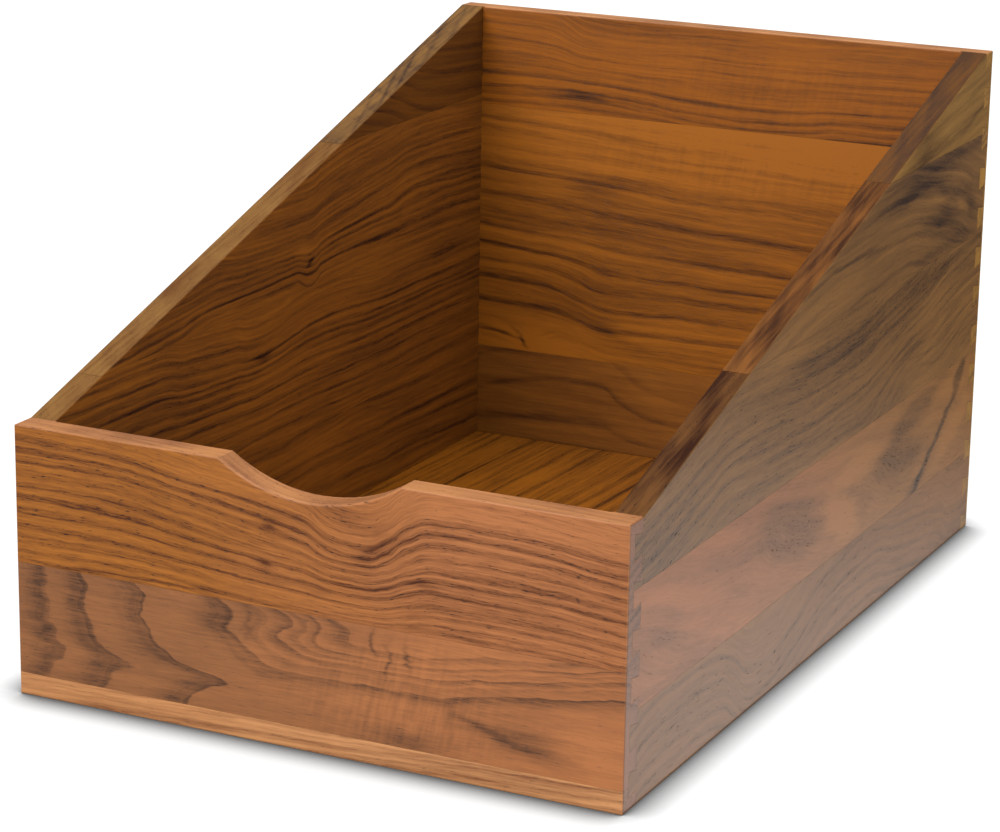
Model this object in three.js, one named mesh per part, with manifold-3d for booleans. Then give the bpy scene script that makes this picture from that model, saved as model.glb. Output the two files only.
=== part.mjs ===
// Open-top album bin in solid walnut: low front with a finger notch, sides that slope up to a
// high back, and a raised floor. Every panel is glued up from staves, the corners are half-blind
// dovetails with the tails on the sides, and the floor floats in grooves in the four walls.
// Millimetres. +X is to the right, +Y from front to back, +Z up. The origin is at the middle
// of the footprint, on the surface that the bin stands on.

import * as THREE from 'three';
import { mergeVertices } from 'three/addons/utils/BufferGeometryUtils.js';
import Module from 'manifold-3d';

const wasm = await Module();
wasm.setup();

// ---- Driving dimensions -------------------------------------------------------------------

const width = 365;
const depth = 545;
const frontHeight = 155;
const backHeight = 311;
const frontThickness = 16;
const sideThickness = 16;
const backThickness = 13;

const floorThickness = 9;
const floorTop = 17;
const grooveDepth = 6;
const floorPlay = 0.3; // above and below the floor, in its groove
const floorExpansion = 1; // left free at the bottom of each groove

const tailPitch = 25.4;
const tailLength = 9.5;
const tailRootWidth = 11;
const tailTipWidth = 14.4;
const jointGap = 0.15; // glue around each tail
const glueFilm = 0.1; // between glued flat faces

const notchWidth = 108;
const notchDepth = 16.5;

const arrisRadius = 1;
const notchArrisRadius = 1.5;
const heelRadius = 3; // lower back edge, where the bin is tipped and dragged
const arcSteps = 4;
const notchSegments = 96; // around the whole circle that the notch is an arc of
const overcut = 2; // how far a cutter stands clear of what it cuts

// Heights of the glue lines between the staves of each wall.
const frontGlueLines = [13, 77];
const backGlueLines = [79, 246];
const leftGlueLines = [79, 169, 252];
const rightGlueLines = [52.5, 118.5, 196, 260];
const floorStaveCount = 5;

// ---- Derived places -----------------------------------------------------------------------

const halfWidth = width / 2;
const frontFace = -depth / 2;
const backFace = depth / 2;
const frontInner = frontFace + frontThickness;
const backInner = backFace - backThickness;
const sideInner = halfWidth - sideThickness;

const axisX = new THREE.Vector3(1, 0, 0);
const axisY = new THREE.Vector3(0, 1, 0);
const axisZ = new THREE.Vector3(0, 0, 1);

// ---- Solids -------------------------------------------------------------------------------

// A manifold solid from a closed three.js geometry.
function solidFrom(geometry) {
  const bare = geometry.clone();
  bare.deleteAttribute('normal');
  bare.deleteAttribute('uv');
  const merged = mergeVertices(bare);
  const mesh = new wasm.Mesh({
    numProp: 3,
    vertProperties: new Float32Array(merged.attributes.position.array),
    triVerts: new Uint32Array(merged.index.array),
  });
  return new wasm.Manifold(mesh);
}

// A three.js geometry from a manifold solid, flat shaded.
function geometryFrom(solid) {
  const mesh = solid.getMesh();
  const indexed = new THREE.BufferGeometry();
  indexed.setAttribute('position', new THREE.BufferAttribute(mesh.vertProperties, 3));
  indexed.setIndex(new THREE.BufferAttribute(mesh.triVerts, 1));
  const flat = indexed.toNonIndexed();
  flat.computeVertexNormals();
  return flat;
}

// A box from its lowest to its highest corner.
function block(low, high) {
  const size = high.map((value, i) => value - low[i]);
  const middle = high.map((value, i) => (value + low[i]) / 2);
  return solidFrom(new THREE.BoxGeometry(...size).translate(...middle));
}

// An outline drawn on the axes across and up, extruded by length along their cross product.
function prism(outline, origin, across, up, length) {
  const shape = new THREE.Shape(outline.map(([a, b]) => new THREE.Vector2(a, b)));
  const geometry = new THREE.ExtrudeGeometry(shape, { depth: length, bevelEnabled: false });
  const along = new THREE.Vector3().crossVectors(across, up);
  const placed = new THREE.Matrix4().makeBasis(across, up, along).setPosition(...origin);
  return solidFrom(geometry.applyMatrix4(placed));
}

// A Y-Z outline extruded from x = low to x = high.
function prismAlongX(outline, low, high) {
  return prism(outline, [low, 0, 0], axisY, axisZ, high - low);
}

// ---- Eased edges --------------------------------------------------------------------------

// Rounds the square edge that runs between two points, where the faces with outward normals
// outA and outB meet.
function easeEdge(panel, from, to, outA, outB, radius = arrisRadius) {
  const run = new THREE.Vector3().subVectors(to, from);
  const across = outA.clone().negate();
  const up = outB.clone().negate();
  const along = new THREE.Vector3().crossVectors(across, up);
  const start = (along.dot(run) > 0 ? from : to).clone().addScaledVector(along, -overcut);
  const waste = [[-overcut, -overcut], [radius, -overcut]];
  for (let i = 0; i <= arcSteps; i += 1) {
    const turn = (i / arcSteps) * (Math.PI / 2);
    waste.push([radius * (1 - Math.sin(turn)), radius * (1 - Math.cos(turn))]);
  }
  waste.push([-overcut, radius]);
  return panel.subtract(prism(waste, start.toArray(), across, up, run.length() + 2 * overcut));
}

// Rounds the outer edges of a front or back wall: its two upright corners, its foot and its
// top, on the side that outward points to.
function easeWall(panel, y, outward, height, footRadius) {
  const right = axisX;
  const left = axisX.clone().negate();
  const down = axisZ.clone().negate();
  const at = (x, z) => new THREE.Vector3(x, y, z);
  let eased = easeEdge(panel, at(halfWidth, 0), at(halfWidth, height), outward, right);
  eased = easeEdge(eased, at(-halfWidth, 0), at(-halfWidth, height), outward, left);
  eased = easeEdge(eased, at(-halfWidth, 0), at(halfWidth, 0), outward, down, footRadius);
  return easeEdge(eased, at(-halfWidth, height), at(halfWidth, height), outward, axisZ);
}

// Rounds the two ends of a wall's top, and of its foot.
function easeWallEnds(panel, low, high, height) {
  let eased = panel;
  for (const side of [-1, 1]) {
    const outward = axisX.clone().multiplyScalar(side);
    const at = (y, z) => new THREE.Vector3(side * halfWidth, y, z);
    eased = easeEdge(eased, at(low, height), at(high, height), outward, axisZ);
    eased = easeEdge(eased, at(low, 0), at(high, 0), outward, axisZ.clone().negate());
  }
  return eased;
}

// Rounds a wall's inner top edge, between the two sides.
function easeInnerTop(panel, y, height, outward) {
  const reach = sideInner - overcut - arrisRadius;
  const from = new THREE.Vector3(-reach, y, height);
  const to = new THREE.Vector3(reach, y, height);
  return easeEdge(panel, from, to, outward, axisZ);
}

// ---- Dovetails ----------------------------------------------------------------------------

// Heights of the middles of the tails that fit in a corner of this height.
function tailMiddles(height) {
  const count = Math.floor(height / tailPitch);
  const first = (height - (count - 1) * tailPitch) / 2;
  return Array.from({ length: count }, (_, i) => first + i * tailPitch);
}

// One tail, drawn on Y and Z: it grows from the shoulder towards -Y or +Y.
// Grown by the joint gap it is the socket that the tail fits.
function tailOutline(shoulder, towards, middle, gap) {
  const flare = (tailTipWidth - tailRootWidth) / 2 / tailLength;
  const tip = shoulder + towards * (tailLength + gap);
  const root = shoulder - towards * overcut;
  const tipHalf = tailTipWidth / 2 + gap * (1 + flare);
  const rootHalf = tailRootWidth / 2 + gap - flare * overcut;
  const outline = [
    [root, middle - rootHalf],
    [root, middle + rootHalf],
    [tip, middle + tipHalf],
    [tip, middle - tipHalf],
  ];
  return outline;
}

// Cuts the sockets for both sides' tails into the ends of a front or back wall.
function cutSockets(panel, shoulder, towards, height) {
  let cut = panel;
  for (const middle of tailMiddles(height)) {
    const outline = tailOutline(shoulder, towards, middle, jointGap);
    const inside = sideInner - jointGap;
    const outside = halfWidth + overcut;
    cut = cut.subtract(prismAlongX(outline, inside, outside));
    cut = cut.subtract(prismAlongX(outline, -outside, -inside));
  }
  return cut;
}

// ---- Floor --------------------------------------------------------------------------------

const floorLow = [-sideInner - grooveDepth, frontInner - grooveDepth, floorTop - floorThickness];
const floorHigh = [sideInner + grooveDepth, backInner + grooveDepth, floorTop];

function makeFloor() {
  return block(floorLow, floorHigh);
}

// Cuts the groove that holds the floor: the floor's own box with room to move.
function cutGroove(panel) {
  const room = [floorExpansion, floorExpansion, floorPlay];
  const low = floorLow.map((value, i) => value - room[i]);
  const high = floorHigh.map((value, i) => value + room[i]);
  return panel.subtract(block(low, high));
}

// ---- Walls --------------------------------------------------------------------------------

// The finger notch's cutter: a disc turned about an axis along Y, with a flared rim at each
// face of the wall so that the notch's edges are eased too.
function notchCutter() {
  const radius = (notchWidth ** 2 / 4 + notchDepth ** 2) / (2 * notchDepth);
  const rim = radius + notchArrisRadius;
  const profile = [new THREE.Vector2(0, -overcut), new THREE.Vector2(rim, -overcut)];
  for (const [face, inward] of [[0, 1], [frontThickness, -1]]) {
    for (let i = 0; i <= arcSteps; i += 1) {
      const turn = ((inward > 0 ? i : arcSteps - i) / arcSteps) * (Math.PI / 2);
      const out = radius + notchArrisRadius * (1 - Math.sin(turn));
      const along = face + inward * notchArrisRadius * (1 - Math.cos(turn));
      profile.push(new THREE.Vector2(out, along));
    }
  }
  profile.push(new THREE.Vector2(rim, frontThickness + overcut));
  profile.push(new THREE.Vector2(0, frontThickness + overcut));
  const disc = new THREE.LatheGeometry(profile, notchSegments);
  disc.translate(0, frontFace, frontHeight - notchDepth + radius);
  return disc;
}

function makeFront() {
  const low = [-halfWidth, frontFace, 0];
  const high = [halfWidth, frontInner, frontHeight];
  let panel = block(low, high);
  panel = cutSockets(panel, frontInner, -1, frontHeight);
  panel = cutGroove(panel);
  panel = easeWall(panel, frontFace, axisY.clone().negate(), frontHeight, arrisRadius);
  panel = easeWallEnds(panel, frontFace, frontInner, frontHeight);
  panel = easeInnerTop(panel, frontInner, frontHeight, axisY);
  return panel.subtract(solidFrom(notchCutter()));
}

function makeBack() {
  const low = [-halfWidth, backInner, 0];
  const high = [halfWidth, backFace, backHeight];
  let panel = block(low, high);
  panel = cutSockets(panel, backInner, 1, backHeight);
  panel = cutGroove(panel);
  panel = easeWall(panel, backFace, axisY, backHeight, heelRadius);
  panel = easeWallEnds(panel, backInner, backFace, backHeight);
  return easeInnerTop(panel, backInner, backHeight, axisY.clone().negate());
}

// A side, from its outer face at x = low or high: the sloping board, its tails at both ends
// and the floor groove.
function makeSide(side) {
  const outer = side * halfWidth;
  const inner = side * sideInner;
  const low = Math.min(outer, inner);
  const high = Math.max(outer, inner);
  const start = frontInner + glueFilm;
  const end = backInner - glueFilm;
  const board = [[start, 0], [end, 0], [end, backHeight], [start, frontHeight]];
  let panel = prismAlongX(board, low, high);
  for (const middle of tailMiddles(frontHeight)) {
    panel = panel.add(prismAlongX(tailOutline(frontInner, -1, middle, 0), low, high));
  }
  for (const middle of tailMiddles(backHeight)) {
    panel = panel.add(prismAlongX(tailOutline(backInner, 1, middle, 0), low, high));
  }
  return easeSide(cutGroove(panel), side);
}

// Rounds the side's two sloping edges and its outer foot.
function easeSide(panel, side) {
  const outward = axisX.clone().multiplyScalar(side);
  const run = new THREE.Vector3(0, backInner - frontInner, backHeight - frontHeight);
  const slopeNormal = new THREE.Vector3().crossVectors(axisX, run).normalize();
  const at = (x, y, z) => new THREE.Vector3(x, y, z);
  const outer = side * halfWidth;
  const inner = side * sideInner;
  const top = [frontInner, frontHeight];
  const rise = [backInner, backHeight];
  let eased = easeEdge(panel, at(outer, ...top), at(outer, ...rise), outward, slopeNormal);
  eased = easeEdge(
    eased, at(inner, ...top), at(inner, ...rise), outward.clone().negate(), slopeNormal,
  );
  return easeEdge(
    eased, at(outer, frontInner, 0), at(outer, backInner, 0), outward, axisZ.clone().negate(),
  );
}

// ---- Staves -------------------------------------------------------------------------------

// Splits a panel into staves at its glue lines along one axis, leaving the glue's thickness.
function splitPanel(panel, axis, glueLines) {
  const reach = width + depth + backHeight;
  const edges = [-reach, ...glueLines, reach];
  return edges.slice(1).map((edge, i) => {
    const low = [-reach, -reach, -reach];
    const high = [reach, reach, reach];
    low[axis] = edges[i] + glueFilm / 2;
    high[axis] = edge - glueFilm / 2;
    return panel.intersect(block(low, high));
  });
}

function walnut(colour) {
  return new THREE.MeshStandardMaterial({ color: colour, roughness: 0.45, metalness: 0 });
}

// Adds one mesh for each stave, named and coloured in the same order.
function addStaves(group, staves, names, colours) {
  staves.forEach((stave, i) => {
    const mesh = new THREE.Mesh(geometryFrom(stave), walnut(colours[i]));
    mesh.name = names[i];
    group.add(mesh);
  });
}

function numbered(prefix, count) {
  return Array.from({ length: count }, (_, i) => `${prefix}_${i + 1}`);
}

function floorGlueLines() {
  const span = floorHigh[0] - floorLow[0];
  const lines = [];
  for (let i = 1; i < floorStaveCount; i += 1) {
    lines.push(floorLow[0] + (span * i) / floorStaveCount);
  }
  return lines;
}

// ---- Assembly -----------------------------------------------------------------------------

const bin = new THREE.Group();
bin.name = 'album_bin';

addStaves(
  bin,
  splitPanel(makeFront(), 2, frontGlueLines),
  ['front_stave_bottom', 'front_stave_middle', 'front_stave_top'],
  ['#b57a50', '#9d6642', '#a9683d'],
);
addStaves(
  bin,
  splitPanel(makeBack(), 2, backGlueLines),
  ['back_stave_bottom', 'back_stave_middle', 'back_stave_top'],
  ['#6b4020', '#94592b', '#9c5d31'],
);
addStaves(
  bin,
  splitPanel(makeSide(-1), 2, leftGlueLines),
  numbered('left_side_stave', leftGlueLines.length + 1),
  ['#6a3f22', '#7a4a28', '#80502b', '#855533'],
);
addStaves(
  bin,
  splitPanel(makeSide(1), 2, rightGlueLines),
  numbered('right_side_stave', rightGlueLines.length + 1),
  ['#8d6f5b', '#96765f', '#8a6a4e', '#7d5f41', '#6f5640'],
);
addStaves(
  bin,
  splitPanel(makeFloor(), 0, floorGlueLines()),
  numbered('floor_stave', floorStaveCount),
  ['#7c4f22', '#74471f', '#80512a', '#784b25', '#7a4c22'],
);

export default bin;
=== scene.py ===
import math

import bpy
from mathutils import Euler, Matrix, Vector


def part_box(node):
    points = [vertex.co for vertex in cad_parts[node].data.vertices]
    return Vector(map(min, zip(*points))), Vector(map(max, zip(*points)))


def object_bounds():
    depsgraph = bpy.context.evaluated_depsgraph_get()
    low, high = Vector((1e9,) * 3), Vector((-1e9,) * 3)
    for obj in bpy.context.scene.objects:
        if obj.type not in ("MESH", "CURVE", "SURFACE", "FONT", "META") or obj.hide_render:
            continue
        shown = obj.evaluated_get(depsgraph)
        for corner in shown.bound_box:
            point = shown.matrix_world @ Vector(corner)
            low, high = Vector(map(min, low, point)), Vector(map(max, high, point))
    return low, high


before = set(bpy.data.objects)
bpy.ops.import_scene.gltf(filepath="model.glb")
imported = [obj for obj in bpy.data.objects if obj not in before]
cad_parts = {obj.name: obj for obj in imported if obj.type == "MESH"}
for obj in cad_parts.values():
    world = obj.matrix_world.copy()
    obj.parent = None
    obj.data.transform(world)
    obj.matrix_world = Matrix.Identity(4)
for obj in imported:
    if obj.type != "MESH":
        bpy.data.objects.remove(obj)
cad_low, cad_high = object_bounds()

MM = 1000.0  # millimetres in a metre
SEED_STEP = 3.7  # sets the noise of each stave apart from the next one's
HILL_DEPTH = 45.0  # how far into the wood a patch or a swerve of the grain reaches, in mm
FLOOR_REPEAT = 140.0  # how far across the floor its pattern of growth lines turns back, in mm
FLOOR_SHIFT = 31.0  # how far a floor stave's pattern is shifted for each unit of its seed, in mm

WHITE = (1, 1, 1, 1)
BLACK = (0, 0, 0, 1)


# ---- The walls, in millimetres ---------------------------------------------------------------

class Wall:
    """How a wall's grain coordinates lie in the row frame, in millimetres.

    along runs with the grain, down runs across it from the wall's top edge, and inward runs
    from the face that is seen most, into the wood. Each is (axis of the row, sign, origin). A flat
    wall is the floor: its upper side is its face, and down runs across it from the left."""

    def __init__(self, along, down, inward, length, flat=False):
        self.along = along
        self.down = down
        self.inward = inward
        self.near = 0.2 * length  # where the tone starts to pass from the near end's
        self.far = 0.8 * length  # where it has become the far end's
        self.flat = flat


def box_mm(name):
    low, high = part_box(name)
    return low * MM, high * MM


def wall_coordinates():
    low, high = cad_low * MM, cad_high * MM
    _, front_high = box_mm("front_stave_top")
    back_low, _ = box_mm("back_stave_top")
    side_low, _ = box_mm("right_side_stave_2")
    _, floor_high = box_mm("floor_stave_3")
    width, depth = high.x - low.x, high.y - low.y
    left_inner = low.x + high.x - side_low.x
    lengthwise = (1, 1, low.y)
    return {
        "front": Wall((0, 1, low.x), (2, -1, front_high.z), (1, 1, low.y), width),
        "back": Wall((0, 1, left_inner), (2, -1, high.z), (1, 1, back_low.y), width),
        "left": Wall(lengthwise, (2, -1, high.z), (0, -1, left_inner), depth),
        "right": Wall(lengthwise, (2, -1, high.z), (0, -1, high.x), depth),
        "floor": Wall(lengthwise, (0, 1, left_inner), (2, -1, floor_high.z), depth, flat=True),
    }


# ---- Shader formulas -------------------------------------------------------------------------

class Value:
    """A number that varies over a surface: a shader socket that can be used in a formula."""

    def __init__(self, graph, socket):
        self.graph = graph
        self.socket = socket

    def __add__(self, other):
        return self.graph.math("ADD", self, other)

    def __radd__(self, other):
        return self.graph.math("ADD", other, self)

    def __sub__(self, other):
        return self.graph.math("SUBTRACT", self, other)

    def __rsub__(self, other):
        return self.graph.math("SUBTRACT", other, self)

    def __mul__(self, other):
        return self.graph.math("MULTIPLY", self, other)

    def __rmul__(self, other):
        return self.graph.math("MULTIPLY", other, self)

    def __truediv__(self, other):
        return self.graph.math("DIVIDE", self, other)

    def __neg__(self):
        return self.graph.math("MULTIPLY", self, -1.0)

    def __abs__(self):
        return self.graph.math("ABSOLUTE", self)


class Graph:
    """Adds nodes to one material's tree."""

    def __init__(self, tree):
        self.tree = tree

    def node(self, kind, **settings):
        made = self.tree.nodes.new(kind)
        for name, value in settings.items():
            setattr(made, name, value)
        return made

    def feed(self, socket, value):
        """Links a value or sets a constant on a socket."""
        if isinstance(value, Value):
            self.tree.links.new(value.socket, socket)
        else:
            socket.default_value = value

    def math(self, operation, *values, clamp=False):
        made = self.node("ShaderNodeMath", operation=operation, use_clamp=clamp)
        for socket, value in zip(made.inputs, values):
            self.feed(socket, value)
        return Value(self, made.outputs[0])

    def vector_math(self, operation, *values, output=0):
        made = self.node("ShaderNodeVectorMath", operation=operation)
        for socket, value in zip(made.inputs, values):
            self.feed(socket, value)
        return Value(self, made.outputs[output])

    def combine(self, x, y, z):
        made = self.node("ShaderNodeCombineXYZ")
        for socket, value in zip(made.inputs, (x, y, z)):
            self.feed(socket, value)
        return Value(self, made.outputs[0])

    def remap(self, value, low, high, to_low=0.0, to_high=1.0, smooth=True):
        made = self.node("ShaderNodeMapRange", clamp=True)
        made.interpolation_type = "SMOOTHSTEP" if smooth else "LINEAR"
        for socket, given in zip(made.inputs, (value, low, high, to_low, to_high)):
            self.feed(socket, given)
        return Value(self, made.outputs[0])

    def mix(self, factor, first, second):
        made = self.node("ShaderNodeMix", data_type="RGBA")
        self.feed(made.inputs["Factor"], factor)
        self.feed(made.inputs[6], first)
        self.feed(made.inputs[7], second)
        return Value(self, made.outputs[2])

    def noise_node(self, point, detail, roughness=0.5):
        made = self.node("ShaderNodeTexNoise", noise_dimensions="3D", normalize=True)
        self.feed(made.inputs["Vector"], point)
        made.inputs["Scale"].default_value = 1.0
        made.inputs["Detail"].default_value = detail
        made.inputs["Roughness"].default_value = roughness
        return made

    def noise(self, point, detail=2.0, roughness=0.5):
        """Smooth noise from -1 to 1 at a point; its lumps are about one unit across."""
        return Value(self, self.noise_node(point, detail, roughness).outputs[0]) * 2.0 - 1.0

    def ramp(self, value, stops):
        """A grey level along value, from (place, level) stops with places from 0 to 1."""
        made = self.node("ShaderNodeValToRGB")
        made.color_ramp.interpolation = "EASE"
        elements = made.color_ramp.elements
        elements.remove(elements[1])
        elements[0].position = stops[0][0]
        elements[0].color = (stops[0][1],) * 3 + (1,)
        for place, level in stops[1:]:
            elements.new(place).color = (level,) * 3 + (1,)
        self.feed(made.inputs[0], value)
        return Value(self, made.outputs[0])


def srgb(hexadecimal):
    """Linear colour of a six-digit sRGB hexadecimal."""
    parts = [int(hexadecimal[i:i + 2], 16) / 255 for i in (1, 3, 5)]
    return tuple(p / 12.92 if p <= 0.04045 else ((p + 0.055) / 1.055) ** 2.4 for p in parts) + (1,)


# ---- Walnut ----------------------------------------------------------------------------------

LINE_LENGTH = 60.0  # how far along the grain a growth line keeps its strength, in millimetres
LINE_HEIGHT = 4.0  # and how far across it
STREAK_LENGTH = 120.0  # millimetres
FIBRE_LENGTH = 14.0  # millimetres
FIBRE_WIDTH = 1.0  # millimetres
ROUGH = 0.65  # how strong the finer noise of lines, streaks and fibres is
BASE_SHADE = 0.25  # how dark the wood is between its lines, from 0 to 1
PORE_LENGTH = 5.0  # millimetres
PORE_WIDTH = 0.7  # millimetres
PORE_DEPTH = 0.00012  # metres
PORE_SHADE = 0.3  # a pore's colour, as a share of the stave's dark tone
ARRIS_HIGHLIGHT = 0.35  # painted highlight: how far a rounded edge passes to the pale tone
OIL_ROUGHNESS = 0.4
OIL_SPECULAR = 0.2

# Pale tones of the wood between its lines.
RUSSET = srgb("#7c4408")
AMBER = srgb("#844c10")
GOLD = srgb("#804c18")
CHESTNUT = srgb("#744414")
BRONZE = srgb("#603810")
COPPER = srgb("#885430")
NUT = srgb("#784c2c")
TAN = srgb("#986840")
PALE_TAN = srgb("#a07048")
HONEY = srgb("#84582c")
KHAKI = srgb("#805c28")
OLIVE = srgb("#745028")
FAWN = srgb("#684820")
COFFEE = srgb("#503010")
ROSE = srgb("#78502c")

# Dark tones of the growth lines and streaks.
MOCHA = srgb("#603820")
SMOKE = srgb("#382818")
COCOA = srgb("#302018")
UMBER = srgb("#301808")
BARK = srgb("#3c1c0c")
BITTER = srgb("#281004")
DUSK = srgb("#281410")

# Sawn upper edges of the front and back, and the ends of the dovetails.
TAN_EDGE = srgb("#906038")
BROWN_EDGE = srgb("#684028")
END_GRAIN_LIGHT = srgb("#785830")
END_GRAIN_GOLD = srgb("#8c6428")
END_GRAIN_ROSE = srgb("#744c34")
END_GRAIN_DARK = srgb("#483020")


class Wood(Graph):
    """The wood of one stave: its place in the board, and the ways in which grain varies."""

    def __init__(self, tree, wall, seed):
        super().__init__(tree)
        self.seed = seed
        source = self.node("ShaderNodeTexCoord")
        place = self.node("ShaderNodeSeparateXYZ")
        tree.links.new(source.outputs["Object"], place.inputs[0])
        facing = self.node("ShaderNodeSeparateXYZ")
        tree.links.new(source.outputs["Normal"], facing.inputs[0])
        self.along = self.wall_axis(place, wall.along)
        self.down = self.wall_axis(place, wall.down)
        self.inward = self.wall_axis(place, wall.inward)
        self.point = self.combine(self.along, self.down, self.inward)
        self.ground = self.point  # where hills lie; warp() makes it ragged
        facings = [Value(self, facing.outputs[axis]) for axis in range(3)]
        self.upward = facings[2]
        self.top = self.remap(self.upward, 0.45, 0.85)  # 1 on an upper edge
        self.end = self.remap(abs(facings[wall.along[0]]), 0.55, 0.85)  # 1 on end grain
        sizes = [abs(facing) for facing in facings]
        largest = self.math("MAXIMUM", self.math("MAXIMUM", sizes[0], sizes[1]), sizes[2])
        self.arris = self.remap(largest, 0.8, 0.93, 1.0, 0.0)  # 1 where an edge is rounded

    def wall_axis(self, place, axis_sign_origin):
        axis, sign, origin = axis_sign_origin
        position = Value(self, place.outputs[axis])
        return self.math("MULTIPLY_ADD", position, sign * MM, -sign * origin)

    def warp(self, along, down):
        """Gives the patches ragged outlines, shifted by about so many millimetres."""
        shift = self.noise_node(self.stretched(length=55.0, height=12.0), detail=3.0)
        centred = self.vector_math("SUBTRACT", Value(self, shift.outputs["Color"]), (0.5, 0.5, 0.5))
        scaled = self.vector_math("MULTIPLY", centred, (along * 4, down * 4, 0))
        self.ground = self.vector_math("ADD", self.point, scaled)

    def hill(self, along, down, length, height, tilt=0.0):
        """A smooth hill of height 1 at a place on the face, fading over length and height, with
        its long axis tilted by some degrees down to the right."""
        place = self.node("ShaderNodeMapping", vector_type="TEXTURE")
        self.feed(place.inputs["Vector"], self.ground)
        place.inputs["Location"].default_value = (along, down, 0)
        place.inputs["Rotation"].default_value = (0, 0, math.radians(tilt))
        place.inputs["Scale"].default_value = (length, height, HILL_DEPTH)
        away = Value(self, place.outputs[0])
        square = self.vector_math("DOT_PRODUCT", away, away, output=1)
        return self.math("EXPONENT", -square)

    def curve(self, value, points):
        """A smooth curve through given (value, height) points, flat beyond the first and last."""
        first, last = points[0][0], points[-1][0]
        heights = [height for _, height in points]
        lowest, span = min(heights), max(max(heights) - min(heights), 0.001)
        made = self.node("ShaderNodeFloatCurve")
        line = made.mapping.curves[0]
        while len(line.points) < len(points):
            line.points.new(0.5, 0.5)
        for spot, (place, height) in zip(line.points, points):
            spot.location = ((place - first) / (last - first), (height - lowest) / span)
            spot.handle_type = "AUTO_CLAMPED"
        made.mapping.update()
        self.feed(made.inputs["Value"], self.remap(value, first, last, smooth=False))
        return self.math("MULTIPLY_ADD", Value(self, made.outputs[0]), span, lowest)

    def stretched(self, length, height, across=None, depth=None):
        """The point in units of length along the grain and height across it."""
        across = self.down if across is None else across
        depth = height if depth is None else depth
        return self.combine(
            self.along / length + self.seed, across / height, self.inward / depth + self.seed,
        )

    def wander(self, length, height, amount, detail=1.0):
        """A slow waver of about amount either way."""
        return self.noise(self.stretched(length, height, depth=60.0), detail) * (amount * 2.0)

    def settle(self, phase, tilt=0.3, waver=1.5, ripple=0.35):
        """Adds the small unevenness that every growth line has."""
        deep = phase + self.inward * tilt
        broad = self.wander(length=90.0, height=26.0, amount=waver)
        fine = self.wander(length=14.0, height=7.0, amount=ripple, detail=2.0)
        return deep + broad + fine

    def between(self, upper, lower, start, end):
        """Passes from upper to lower between two depths down the face."""
        share = self.remap(self.down, start, end, smooth=False)
        return upper + (lower - upper) * share

    def growth_lines(self, phase, lines, soft, sharp):
        """Dark lines where the phase passes the given (phase, darkness) pairs: each darkens over
        soft millimetres and clears over sharp millimetres."""
        low = lines[0][0] - soft - 1
        high = lines[-1][0] + 2 * sharp
        stops = []
        for place, darkness in lines:
            start = max(place - soft, stops[-1][0] + 0.05 if stops else low)
            stops += [(start, 0.0), (place, darkness), (place + sharp, 0.0)]
        span = high - low
        scaled = [((place - low) / span, darkness) for place, darkness in stops]
        return self.ramp(self.remap(phase, low, high, smooth=False), scaled)


class Stave:
    """What one stave's wood looks like. Lengths are millimetres on its wall's face.

    figure gives the phase, which is equal along each growth line, and the fibres' course. light
    is the palest tone and dark the darkest. The rest are these settings:"""

    far_light = None  # palest tone at the far end, where it differs from the near end's
    top = None  # pale and dark tone of the sawn upper edge, where they differ from the face's
    ends = END_GRAIN_LIGHT  # palest tone of the end grain
    lines = ()  # bold growth lines, as (phase, darkness)
    soft = 2.0  # how far the wood darkens up to a line
    sharp = 1.2  # how far it clears after the line
    streak = 3.0  # height of the streaks between the lines
    streaks = 0.5  # strength of the streaks
    fibre = 0.22  # strength of the fibres
    pores = 0.3  # strength of the pores
    tone = 0.12  # how much the wood's tone wanders
    patches = ()  # broad tones on the face, as (along, down, length, height, tilt, darkness)
    crisp = False  # whether the patches have firm outlines
    curl = None  # ripples across the grain, as (along, down, length, height, strength)
    bands = ()  # slanting tones across the sawn upper edge, as (along, width, darkness)
    painted_slope_shade = 0.0  # painted shade: how much darker the notch's sloping parts are than the level upper edge

    def __init__(self, figure, light, dark, **settings):
        self.figure = figure
        self.light = light
        self.dark = dark
        for name, value in settings.items():
            assert hasattr(Stave, name), name
            setattr(self, name, value)
        self.far_light = self.far_light or light
        self.top = self.top or (light, dark)


def line_shade(wood, stave, phase, fibre):
    """The bold growth lines, which come and go along the grain."""
    waxing = wood.noise(wood.stretched(LINE_LENGTH, LINE_HEIGHT, phase), detail=3.0, roughness=ROUGH)
    strength = waxing * 0.8 + 0.65 + 0.25 * fibre
    lines = wood.growth_lines(phase, stave.lines, stave.soft, stave.sharp)
    return lines * wood.math("MAXIMUM", strength, 0.1)


def curl_shade(wood, stave):
    """Fine ripples that stand nearly upright across the grain."""
    along, down, length, height, strength = stave.curl
    upright = wood.combine(wood.along / 3.6 + wood.down * 0.06, wood.down / 24.0, wood.seed)
    ripple = wood.noise(upright, detail=2.0, roughness=0.6)
    return ripple * wood.hill(along, down, length, height) * strength


def shade_of(wood, stave, phase, course, fibre):
    """How dark the wood is, from 0 at its palest to 1 at its darkest."""
    streaks = wood.noise(wood.stretched(STREAK_LENGTH, stave.streak, course), detail=3.0, roughness=ROUGH)
    shade = streaks * stave.streaks + fibre * stave.fibre + BASE_SHADE
    if stave.lines:
        shade = shade + line_shade(wood, stave, phase, fibre)
    if stave.patches:
        wood.warp(along=7.0, down=3.0)
    for along, down, length, height, tilt, darkness in stave.patches:
        patch = wood.hill(along, down, length, height, tilt)
        if stave.crisp:
            patch = wood.remap(patch, 0.1, 0.75, 0.0, 0.6)
        shade = shade + patch * darkness
    if stave.curl:
        shade = shade + curl_shade(wood, stave)
    shade = shade + wood.wander(length=110.0, height=30.0, amount=stave.tone, detail=2.0)
    return wood.math("ADD", shade, 0.0, clamp=True)


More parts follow.
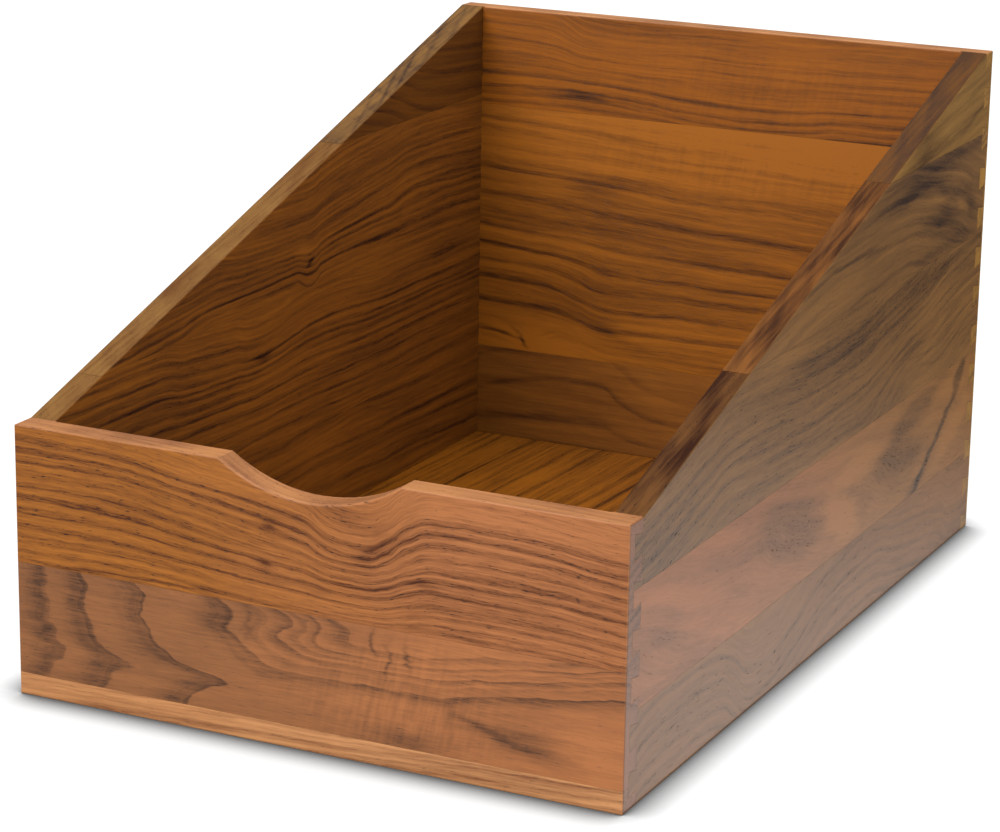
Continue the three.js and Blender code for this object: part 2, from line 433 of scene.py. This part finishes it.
def sawn_shade(wood, stave, tone):
    """The same on a sawn upper edge, where the fibres show as long fine streaks."""
    slanted = wood.inward / 2.6 + wood.along * 0.03
    streak_point = wood.combine(wood.along / 60.0, slanted, wood.seed)
    streaks = wood.noise(streak_point, detail=3.0, roughness=0.6)
    broad_point = wood.combine(wood.along / 45.0, wood.inward / 40.0, wood.seed)
    broad = wood.noise(broad_point, detail=1.0)
    shade = 0.2 + 0.5 * tone + 0.9 * streaks + 0.8 * broad
    slant = wood.along - 4.0 * wood.inward + 3.0 * streaks
    for along, width, darkness in stave.bands:
        shade = shade + wood.remap(abs(slant - along), 0.0, width, darkness, 0.0)
    # Painted shade: the notch's sloping parts darken the further they tilt from level.
    if stave.painted_slope_shade:
        shade = shade + wood.remap(wood.upward, 0.85, 0.995, stave.painted_slope_shade, 0.0)
    return wood.math("ADD", shade, 0.0, clamp=True)


def colour_of(wood, wall, stave, tone):
    """The wood's colour before its pores, with a painted highlight on rounded edges."""
    pale = stave.light
    if stave.far_light != stave.light:
        ragged = wood.along + wood.wander(length=60.0, height=30.0, amount=25.0)
        pale = wood.mix(wood.remap(ragged, wall.near, wall.far), stave.light, stave.far_light)
    colour = wood.mix(tone, pale, stave.dark)
    if not wall.flat:
        sawn = wood.mix(sawn_shade(wood, stave, tone), *stave.top)
        colour = wood.mix(wood.top, colour, sawn)
    colour = wood.mix(wood.end, colour, wood.mix(tone, stave.ends, END_GRAIN_DARK))
    # Painted highlight: rounded edges pass partly to the pale tone of the upper edge.
    return wood.mix(wood.arris * ARRIS_HIGHLIGHT, colour, stave.top[0])


def pores_of(wood, tone, course):
    """Short pores, from 0 beside one to 1 inside it, which crowd together in dark wood."""
    slanted = course + wood.along * 0.08
    spots = wood.noise(wood.stretched(PORE_LENGTH, PORE_WIDTH, slanted), detail=1.0)
    crowding = wood.remap(tone, 0.1, 0.8, 0.42, 0.16)
    return wood.math("MULTIPLY", spots - crowding, 6.0, clamp=True)


def walnut(name, wall, stave, seed):
    """An oiled walnut material for one stave."""
    material = bpy.data.materials.new(f"walnut_{name}")
    material.use_nodes = True
    tree = material.node_tree
    wood = Wood(tree, wall, seed)
    phase, course = stave.figure(wood)
    fibre = wood.noise(wood.stretched(FIBRE_LENGTH, FIBRE_WIDTH, course), detail=3.0, roughness=ROUGH)
    tone = shade_of(wood, stave, phase, course, fibre)
    colour = colour_of(wood, wall, stave, tone)
    pore = pores_of(wood, tone, course)
    pore_colour = tuple(PORE_SHADE * part for part in stave.dark[:3]) + (1,)

    shader = tree.nodes["Principled BSDF"]
    wood.feed(shader.inputs["Base Color"], wood.mix(pore * stave.pores, colour, pore_colour))
    wood.feed(shader.inputs["Roughness"], OIL_ROUGHNESS + pore * 0.2 + fibre * 0.06)
    shader.inputs["Specular IOR Level"].default_value = OIL_SPECULAR
    relief = wood.node("ShaderNodeBump")
    wood.feed(relief.inputs["Height"], fibre * 0.15 - pore)
    relief.inputs["Strength"].default_value = 0.35
    relief.inputs["Distance"].default_value = PORE_DEPTH
    tree.links.new(relief.outputs[0], shader.inputs["Normal"])
    return material


# ---- Figures: how the grain runs on each stave -----------------------------------------------

# A figure returns the phase and the fibres' course. The points of its curves are given as
# (millimetres along or down the wall, shift in millimetres).


def front_top(wood):
    """Level lines that dip into a swirl under the notch and crest again to its right."""
    upper = wood.curve(wood.along, (
        (0, 0), (60, 1), (100, 6), (140, 12), (180, 19), (212, 28), (226, 24), (242, 13),
        (262, 8), (285, 8), (365, 14),
    ))
    lower = wood.curve(wood.along, (
        (0, 0), (60, -1), (130, 2), (215, 4), (260, 0), (300, 0), (365, 4),
    ))
    phase = wood.settle(wood.down - wood.between(upper, lower, 44, 80), waver=1.0, ripple=0.5)
    return phase, phase


def front_middle(wood):
    """A flat-sawn cathedral: lines that drop from the glue line, then a tongue to the right."""
    bulge = wood.curve(wood.down, (
        (78, -5), (85, 2), (92, 0), (100, 6), (110, 16), (117, 26), (121, 42), (125, 55),
        (129, 46), (134, 40), (142, 36),
    ))
    left = wood.along * (1.0 - bulge / 130.0)
    tongue = wood.curve(wood.along, (
        (130, 116), (165, 113), (200, 112), (260, 110), (285, 105), (330, 99), (365, 93),
    ))
    right = wood.math("MAXIMUM", 135.0 + (tongue - wood.down) * 3.3, 104.0)
    phase = wood.math("SMOOTH_MIN", left, right, 22.0)
    ripple = wood.wander(22.0, 9.0, 3.2, 2.0) + wood.wander(60.0, 18.0, 3.0)
    return phase + ripple + wood.inward * 1.5, wood.down + wood.wander(80.0, 30.0, 1.0)


def front_bottom(wood):
    phase = wood.settle(wood.down + 0.034 * wood.along, waver=0.8)
    return phase, phase


def back_top(wood):
    upper = wood.curve(wood.along, ((0, 0), (45, 1), (80, 11), (130, 13), (333, 11)))
    lower = wood.curve(wood.along, ((0, 0), (60, -1), (120, 2), (200, 6), (250, 3), (333, 0)))
    phase = wood.settle(wood.down - wood.between(upper, lower, 18, 50))
    return phase, phase


def back_middle(wood):
    """Long level lines that part around a small knot at the lower left."""
    upper = wood.curve(wood.along, ((0, 0), (60, 3), (130, 8), (200, 11), (260, 14), (333, 16)))
    lower = wood.curve(wood.along, ((0, 0), (50, 2), (75, 7), (105, 12), (200, 12), (333, 14)))
    knot = wood.hill(42, 222, 20, 9) * 9.0
    phase = wood.down - wood.between(upper, lower, 150, 180) - knot
    phase = wood.settle(phase, waver=1.6)
    return phase, phase


def back_bottom(wood):
    sweep = wood.curve(wood.along, (
        (0, 0), (35, -8), (80, -14), (105, -4), (130, 8), (180, 14), (333, 18),
    ))
    phase = wood.settle(wood.down - wood.between(sweep, sweep * 0.3, 255, 290), waver=3.0)
    return phase, wood.down


def left_top(wood):
    sweep = wood.curve(wood.along, (
        (330, -20), (365, -10), (400, 0), (430, 11), (460, 19), (490, 24), (532, 28),
    ))
    phase = wood.settle(wood.down - sweep, waver=2.0)
    return phase, wood.down - 0.6 * sweep


def left_upper(wood):
    """Lines that rise to the back, with a small knot low in the middle."""
    upper = wood.curve(wood.along, (
        (60, 2), (180, 0), (220, 4), (290, 6), (312, 2), (345, -3), (400, -8), (450, -13), (532, -10),
    ))
    lower = wood.curve(wood.along, (
        (60, 6), (100, 4), (150, 0), (200, -5), (280, -5), (298, 0), (312, -4), (345, -6), (532, -4),
    ))
    phase = wood.settle(wood.down - wood.between(upper, lower, 105, 132), waver=1.2)
    return phase, phase


def left_lower(wood):
    upper = wood.curve(wood.along, (
        (30, 0), (110, 0), (150, 5), (210, 10), (240, 14), (280, 10), (310, 8), (400, 12), (532, 12),
    ))
    lower = wood.curve(wood.along, ((30, 0), (240, 3), (400, 4), (532, 3)))
    phase = wood.settle(wood.down - wood.between(upper, lower, 165, 215), waver=1.2)
    return phase, phase


def left_bottom(wood):
    sweep = wood.curve(wood.along, ((0, 4), (260, 2), (330, -1), (400, 1), (532, 4)))
    phase = wood.settle(wood.down - sweep, waver=2.0)
    return phase, phase


def right_top(wood):
    sweep = wood.curve(wood.along, ((363, 18), (430, 4), (480, 0), (545, -12)))
    phase = wood.settle(wood.down - sweep, tilt=1.2, waver=2.0)
    return phase, wood.down + 0.12 * wood.along


def right_upper(wood):
    """Long arcs that fall away to the back."""
    arc = wood.curve(wood.along, (
        (140, 16), (200, 7), (260, 1), (340, -4), (390, -5), (430, -1), (460, 5), (490, 12), (520, 22),
        (545, 30),
    ))
    phase = wood.settle(wood.down - arc, tilt=1.6, waver=2.4, ripple=0.8)
    return phase, phase


def right_middle(wood):
    """A sweep over the top of two cathedral points at the back."""
    sweep = wood.curve(wood.along, (
        (0, 22), (60, 10), (100, 2), (140, -4), (200, -2), (260, 2), (320, 2), (370, -4), (430, -12),
        (480, -24), (545, -32),
    ))
    points = wood.hill(418, 202, 38, 34) * 52.0 + wood.hill(540, 206, 52, 40) * 60.0
    phase = wood.settle(wood.down - sweep + points, tilt=1.4, waver=2.2, ripple=0.7)
    return phase, wood.down - sweep + 0.3 * points


def right_lower(wood):
    phase = wood.down - 0.3 * wood.along + wood.wander(90.0, 24.0, 14.0, 2.0)
    return phase + wood.inward, wood.down - 0.18 * wood.along + wood.wander(120.0, 40.0, 8.0)


def right_bottom(wood):
    """Two broad waves, one in front of the middle and one at the back."""
    arc = wood.curve(wood.along, (
        (0, 10), (60, 0), (110, 2), (150, 16), (180, 28), (230, 20), (260, 11), (300, 3), (345, 0),
        (400, 8), (440, 14), (490, 24), (515, 32), (545, 30),
    ))
    phase = wood.settle(wood.down - arc, tilt=1.2, waver=2.0, ripple=0.6)
    return phase, phase


def floor_grain(wood):
    sweep = wood.curve(wood.along, ((0, 0), (120, 4), (200, 3), (330, 2), (420, -4), (545, -10)))
    grain = wood.settle(wood.down + sweep, waver=1.5)
    phase = wood.math("PINGPONG", grain + FLOOR_SHIFT * wood.seed, FLOOR_REPEAT)
    return phase, grain


STAVES = {
    "front_stave_top": Stave(
        front_top, GOLD, BARK, far_light=COPPER, top=(TAN_EDGE, BROWN_EDGE),
        lines=((8.5, 0.6), (14, 0.65), (20, 0.55), (27, 0.35), (34, 0.45), (40.5, 0.75), (48.5, 0.6),
               (57, 0.5), (64, 0.35), (70.5, 0.45)),
        # the notch's sloping parts get painted shade
        painted_slope_shade=0.45, soft=4.0, sharp=2.8, streak=1.8, streaks=0.65, fibre=0.55, pores=0.85,
        patches=((222, 38, 14, 5, -35, 0.3), (205, 22, 26, 5, 12, 0.2), (300, 8, 70, 9, 0, -0.15),
                 (157, 53, 5, 2, 0, 0.6), (160, 33, 6, 2, 10, 0.5), (252, 50, 7, 2, -5, 0.35),
                 (60, 75.5, 75, 1.3, 0, 0.5), (310, 77, 60, 1.5, 0, 0.35), (180, 70, 200, 4, 0, -0.1)),
        ends=END_GRAIN_ROSE,
    ),
    "front_stave_middle": Stave(
        front_middle, NUT, COCOA, far_light=COPPER,
        lines=((17, 0.6), (42, 0.65), (77, 0.65), (135, 0.6), (152, 0.3), (167, 0.65), (177, 0.3),
               (186, 0.5), (203, 0.45)),
        soft=22.0, sharp=1.2, streak=5.0, streaks=0.25, fibre=0.3, pores=0.35, tone=0.1,
        patches=((306, 126, 26, 9, 12, 0.25), (285, 122, 26, 3, 20, 0.3), (314, 130, 15, 5, 0, 0.3),
                 (240, 139, 20, 5, 0, 0.35), (125, 92, 16, 12, 0, 0.2),
                 (350, 125, 22, 20, 0, -0.15), (330, 140, 40, 3, 0, -0.15),
                 (250, 95, 110, 12, -3, -0.15), (231, 96, 1.3, 9, 5, 0.45), (240, 92, 1.3, 6, -8, 0.4),
                 (223, 86, 1.3, 7, 0, 0.45), (148, 88, 2, 10, 0, 0.2)),
        curl=(235, 118, 60, 34, 0.38),
        ends=END_GRAIN_ROSE,
    ),
    "front_stave_bottom": Stave(
        front_bottom, TAN, MOCHA, far_light=PALE_TAN,
        lines=((149, 0.3), (155.4, 0.4), (161, 0.3)), soft=2.5,
        streak=3.0, streaks=1.1, fibre=0.35, pores=0.3,
        ends=END_GRAIN_ROSE,
    ),
    "back_stave_top": Stave(
        back_top, RUSSET, UMBER, top=(TAN, BROWN_EDGE),
        lines=((9, 0.2), (20, 0.3), (31, 0.3), (44, 0.5), (52, 0.6), (57, 0.5), (62.5, 0.7)),
        soft=3.0, sharp=1.6, streak=3.0, streaks=0.6, fibre=0.3, pores=0.25,
        patches=((72, 54, 16, 3, 5, 0.45), (215, 18, 25, 16, 0, -0.2), (115, 6, 60, 8, 0, 0.25)),
        curl=(200, 40, 140, 30, 0.2),
        ends=END_GRAIN_GOLD,
    ),
    "back_stave_middle": Stave(
        back_middle, AMBER, BITTER,
        lines=((73, 0.3), (80, 0.2), (101, 0.4), (107, 0.55), (127, 0.5), (147, 0.45), (161, 0.6),
               (172, 0.4), (184, 0.55), (198, 0.5)),
        soft=5.0, sharp=2.2, streak=3.4, streaks=0.5, fibre=0.3, pores=0.2,
        patches=((220, 72, 140, 26, 3, -0.4), (120, 140, 190, 18, 0, 0.25),
                 (120, 205, 190, 22, 0, -0.12), (85, 114, 22, 9, 4, 0.35), (120, 190, 120, 18, 0, 0.2),
                 (90, 208, 30, 5, 20, 0.35), (140, 225, 50, 8, 0, 0.25), (45, 224, 26, 6, 10, -0.45),
                 (36, 224, 8, 1.6, 40, 0.9), (18, 221, 22, 1.2, 4, 0.7), (50, 150, 70, 6, 2, -0.2)),
        curl=(200, 85, 120, 22, 0.3),
        ends=END_GRAIN_GOLD,
    ),
    "back_stave_bottom": Stave(
        back_bottom, CHESTNUT, BITTER,
        lines=((240, 0.3), (262, 0.4), (284, 0.4), (300, 0.3)),
        soft=6.0, sharp=2.5, streak=6.0, streaks=0.5, fibre=0.3, pores=0.2,
        patches=((15, 255, 45, 30, 0, 0.1), (130, 250, 20, 12, 0, -0.2)),
        ends=END_GRAIN_GOLD,
    ),
    "left_side_stave_4": Stave(
        left_top, BRONZE, DUSK, top=(FAWN, COCOA),
        lines=((0, 0.45), (14, 0.55), (26, 0.4), (38, 0.6), (50, 0.5), (60, 0.4)), soft=5.0,
        sharp=2.0, streak=3.0, streaks=0.65, pores=0.25,
        bands=((352, 9, 0.25), (384, 9, 0.35), (408, 9, 0.35), (445, 12, 0.25), (485, 14, 0.25)),
    ),
    "left_side_stave_3": Stave(
        left_upper, GOLD, DUSK, top=(FAWN, COFFEE),
        lines=((92, 0.3), (105.5, 0.65), (112, 0.3), (118, 0.55), (123, 0.45), (128, 0.4), (134, 0.7),
               (140, 0.4)),
        soft=3.6, sharp=2.2, streak=2.6, streaks=0.75, fibre=0.32, pores=0.25,
        bands=((270, 20, 0.2), (310, 12, 0.3)),
        patches=((130, 120, 100, 50, 0, 0.15), (340, 82, 120, 22, -3, 0.18),
                 (298, 127, 4, 3, 0, 0.6), (290, 117, 10, 4, 0, -0.3)),
    ),
    "left_side_stave_2": Stave(
        left_lower, GOLD, DUSK, top=(FAWN, COFFEE),
        lines=((150, 0.3), (158, 0.65), (165, 0.35), (170, 0.65), (175, 0.4), (182, 0.4), (189, 0.6),
               (198, 0.5), (209, 0.5), (220, 0.4)),
        soft=3.4, sharp=2.0, streak=2.6, streaks=0.75, fibre=0.32, pores=0.25,
        patches=((130, 190, 110, 50, 0, 0.18), (240, 172, 10, 3, 0, 0.6), (480, 152, 30, 10, 0, 0.3)),
    ),
    "left_side_stave_1": Stave(
        left_bottom, GOLD, DUSK,
        lines=((234, 0.4), (253, 0.4), (262, 0.3), (277, 0.5), (290, 0.3)), soft=4.6,
        sharp=2.0, streak=3.0, streaks=0.75, fibre=0.32, pores=0.25,
    ),
    "right_side_stave_5": Stave(
        right_top, KHAKI, UMBER, top=(COFFEE, COCOA),
        lines=((10, 0.3), (28, 0.3), (44, 0.4)), soft=8.0,
        sharp=4.0, streak=5.0, streaks=0.5, pores=0.15, patches=((425, 38, 22, 12, 0, 0.35),),
        bands=((370, 18, 0.2), (420, 18, 0.25), (490, 20, 0.2)),
    ),
    "right_side_stave_4": Stave(
        right_upper, OLIVE, COCOA, top=(BRONZE, UMBER),
        lines=((53, 0.3), (71, 0.3), (79, 0.2), (88, 0.25), (97, 0.25), (106, 0.2), (114, 0.2)),
        soft=4.0, sharp=3.0, streak=3.0, streaks=0.5, pores=0.15,
        bands=((180, 22, 0.3), (135, 18, -0.3), (230, 14, 0.15), (285, 26, 0.25)),
        patches=((410, 66, 50, 5.5, 0, 0.65), (490, 77, 50, 4.5, 12, 0.4), (455, 55, 110, 6, 0, 0.55),
                 (460, 76, 26, 3, 3, -0.35), (465, 92, 32, 5.5, 8, 0.6), (518, 92, 15, 6, 40, 0.3),
                 (495, 106, 26, 4, 10, 0.35), (500, 88, 16, 3, 20, -0.3), (455, 110, 40, 3, 0, 0.2),
                 (320, 86, 60, 2, 3, 0.35), (300, 103, 110, 12, -3, -0.2), (210, 112, 50, 8, -10, -0.2)),
    ),
    "right_side_stave_3": Stave(
        right_middle, OLIVE, COCOA, top=(COFFEE, BITTER),
        lines=((128, 0.25), (136, 0.25), (148, 0.3), (157, 0.2), (166, 0.25), (175, 0.22), (186, 0.25),
               (200, 0.25), (216, 0.25)),
        soft=5.0, sharp=3.0, streak=3.5, streaks=0.5, fibre=0.4, pores=0.9,
        bands=((84, 44, 0.5), (10, 26, -0.2)),
        patches=((420, 126, 130, 9, -3, 0.25), (290, 138, 90, 9, 2, 0.2), (190, 122, 70, 7, 0, -0.15),
                 (450, 165, 40, 20, -40, -0.15), (530, 150, 30, 25, 0, -0.1), (40, 175, 60, 20, 0, 0.2)),
    ),
    "right_side_stave_2": Stave(
        right_lower, COPPER, SMOKE, far_light=HONEY,
        streak=7.0, streaks=0.3, pores=0.35, tone=0.1, crisp=True,
        patches=((225, 222, 50, 19, 12, 0.5), (402, 228, 44, 15, 5, 0.5), (430, 206, 46, 8, -8, 0.5),
                 (512, 203, 20, 6, -40, 0.8), (468, 236, 46, 3.6, -30, 0.85), (440, 252, 20, 4, -10, 0.5),
                 (505, 235, 34, 10, -25, -0.3), (510, 205, 40, 8, 0, -0.2), (305, 238, 30, 14, 28, -0.5),
                 (335, 213, 44, 9, 0, -0.4), (340, 240, 16, 9, 0, 0.25), (75, 217, 70, 7, 18, -0.3),
                 (120, 245, 60, 6, 16, -0.25), (30, 228, 40, 5, 12, 0.2), (150, 215, 50, 7, 10, 0.2),
                 (60, 255, 80, 4, 0, 0.2)),
    ),
    "right_side_stave_1": Stave(
        right_bottom, ROSE, SMOKE,
        lines=((262, 0.35), (270, 0.2), (277, 0.35), (284, 0.25), (292, 0.3), (302, 0.3)),
        soft=4.0, sharp=2.0, streak=3.0, streaks=0.3, pores=0.7,
    ),
}

FLOOR_STAVE = Stave(
    floor_grain, AMBER, UMBER,
    lines=((15, 0.6), (34, 0.5), (50, 0.5), (60, 0.3), (68, 0.6), (76, 0.4), (99, 0.8), (115, 0.4),
           (127, 0.6), (139, 0.5)),
    soft=4.0, sharp=1.6, streak=2.6, streaks=0.75, fibre=0.35, pores=0.3, tone=0.25,
)


# ---- Stage, in metres ------------------------------------------------------------------------

PAPER_REACH = 12.0  # from the middle of the paper floor to its edges
PAPER_GREY = (0.2, 0.2, 0.2, 1)  # what the paper sends back of the world's light
PAPER_GLOW = 0.85  # how white the paper is by itself
SHADOW_REACH = 0.025  # how far the narrow shadow spreads from the object
SHADOW_FULL = 0.5  # how open to the sky the paper is where the shadow is darkest
SHADOW_NONE = 0.97  # and where the shadow ends
SHADOW_LIGHT = 0.12  # share of the paper's light that is left where it is darkest

CARD_GAP = 0.0005  # between the object's right side and the reflector
CARD_FRONT = -0.7
CARD_BACK = 1.2
CARD_RIGHT = 1.2
CARD_HEIGHT = 0.001
CARD_GLOW = 1.85  # in front, up to CARD_FADE
CARD_FADE = -0.2
CARD_DARK = 0.72  # from here to the back the card doesn't glow

WORLD_GLOW = 1.42
MIRRORED_GLOW = 0.14  # what the polish mirrors of it


def plane(name, low, high, height):
    """A level rectangle that belongs to the studio, not to the object."""
    mesh = bpy.data.meshes.new(name)
    corners = [(low[0], low[1]), (high[0], low[1]), (high[0], high[1]), (low[0], high[1])]
    mesh.from_pydata([(x, y, height) for x, y in corners], [], [(0, 1, 2, 3)])
    made = bpy.data.objects.new(name, mesh)
    bpy.context.scene.collection.objects.link(made)
    material = bpy.data.materials.new(name)
    material.use_nodes = True
    mesh.materials.append(material)
    return made


def add_floor():
    """White paper, with a narrow soft shadow where the object meets it."""
    floor = plane("studio_floor", (-PAPER_REACH, -PAPER_REACH), (PAPER_REACH, PAPER_REACH), 0.0)
    graph = Graph(floor.active_material.node_tree)
    nearness = graph.node("ShaderNodeAmbientOcclusion", samples=16)
    nearness.inputs["Distance"].default_value = SHADOW_REACH
    open_sky = graph.remap(
        Value(graph, nearness.outputs["AO"]),
        SHADOW_FULL, SHADOW_NONE, SHADOW_LIGHT, 1.0, smooth=False,
    )
    shader = graph.tree.nodes["Principled BSDF"]
    graph.feed(shader.inputs["Base Color"], graph.mix(open_sky, BLACK, PAPER_GREY))
    graph.feed(shader.inputs["Emission Strength"], open_sky * PAPER_GLOW)
    shader.inputs["Emission Color"].default_value = WHITE
    shader.inputs["Roughness"].default_value = 1.0
    floor.visible_glossy = False


def add_reflector():
    """A white card on the floor beside the right side, brightest in front, which only shows in
    the side's polish."""
    low = (cad_high.x + CARD_GAP, CARD_FRONT)
    card = plane("studio_reflector", low, (CARD_RIGHT, CARD_BACK), CARD_HEIGHT)
    graph = Graph(card.active_material.node_tree)
    shader = graph.tree.nodes["Principled BSDF"]
    shader.inputs["Base Color"].default_value = BLACK
    shader.inputs["Emission Color"].default_value = WHITE
    place = graph.node("ShaderNodeSeparateXYZ")
    graph.tree.links.new(graph.node("ShaderNodeTexCoord").outputs["Object"], place.inputs[0])
    fade = graph.remap(Value(graph, place.outputs["Y"]), CARD_FADE, CARD_DARK, CARD_GLOW, 0.0)
    graph.feed(shader.inputs["Emission Strength"], fade)
    card.visible_camera = False
    card.visible_diffuse = False
    card.visible_shadow = False
    card.visible_transmission = False


def area_light(name, position, target, size, power, lit):
    """A square softbox that lights only the objects in the collection lit."""
    data = bpy.data.lights.new(name, "AREA")
    data.shape = "SQUARE"
    data.size = size
    data.energy = power
    lamp = bpy.data.objects.new(name, data)
    lamp.location = position
    lamp.rotation_euler = (Vector(target) - Vector(position)).to_track_quat("-Z", "Y").to_euler()
    lamp.light_linking.receiver_collection = lit
    bpy.context.scene.collection.objects.link(lamp)
    return lamp


def add_world():
    """An even white studio, which is dim where the polish mirrors it."""
    world = bpy.data.worlds.new("studio")
    bpy.context.scene.world = world
    world.use_nodes = True
    graph = Graph(world.node_tree)
    background = world.node_tree.nodes["Background"]
    background.inputs["Color"].default_value = WHITE
    mirrored = Value(graph, graph.node("ShaderNodeLightPath").outputs["Is Glossy Ray"])
    strength = WORLD_GLOW - (WORLD_GLOW - MIRRORED_GLOW) * mirrored
    graph.feed(background.inputs["Strength"], strength)


def add_lights():
    """Soft lamps that light the object alone, so that the floor stays an even white."""
    lit = bpy.data.collections.new("lit_by_lamps")
    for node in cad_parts.values():
        lit.objects.link(node)
    overhead = area_light(
        "overhead_softbox", position=(0, 0.3, 2.8), target=(0, 0.3, 0), size=4, power=85, lit=lit,
    )
    overhead.visible_glossy = False
    area_light(
        "key_softbox", position=(-0.7, -2.7, 1.6), target=(0, 0, 0.15), size=1.6, power=100,
        lit=lit,
    )


def add_camera():
    """The photograph's viewpoint, solved from the box's sixteen visible corners."""
    azimuth = math.radians(25.94)
    elevation = math.radians(16.10)
    roll = math.radians(0.93)
    distance = 1.9498
    aim = Vector((-0.0139, -0.0183, 0.1194))
    away = Vector((
        math.sin(azimuth) * math.cos(elevation),
        -math.cos(azimuth) * math.cos(elevation),
        math.sin(elevation),
    ))
    data = bpy.data.cameras.new("camera")
    data.lens = 119.285  # millimetres, as is the sensor's width
    data.sensor_width = 36
    camera = bpy.data.objects.new("camera", data)
    camera.location = aim + away * distance
    turn = Euler((math.pi / 2 - elevation, 0, azimuth)).to_matrix()
    turn = turn @ Euler((0, 0, roll)).to_matrix()
    camera.rotation_euler = turn.to_euler()
    bpy.context.scene.collection.objects.link(camera)
    bpy.context.scene.camera = camera


# ---- Scene -----------------------------------------------------------------------------------

def add_walnut():
    """Gives each stave its own wood."""
    walls = wall_coordinates()
    for number, (name, node) in enumerate(sorted(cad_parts.items())):
        wall = walls[name.split("_")[0]]
        stave = STAVES.get(name, FLOOR_STAVE)
        node.data.materials.clear()
        node.data.materials.append(walnut(name, wall, stave, seed=SEED_STEP * number))


bpy.context.scene.view_settings.view_transform = "Standard"
add_floor()
add_reflector()
add_world()
add_lights()
add_camera()
add_walnut()
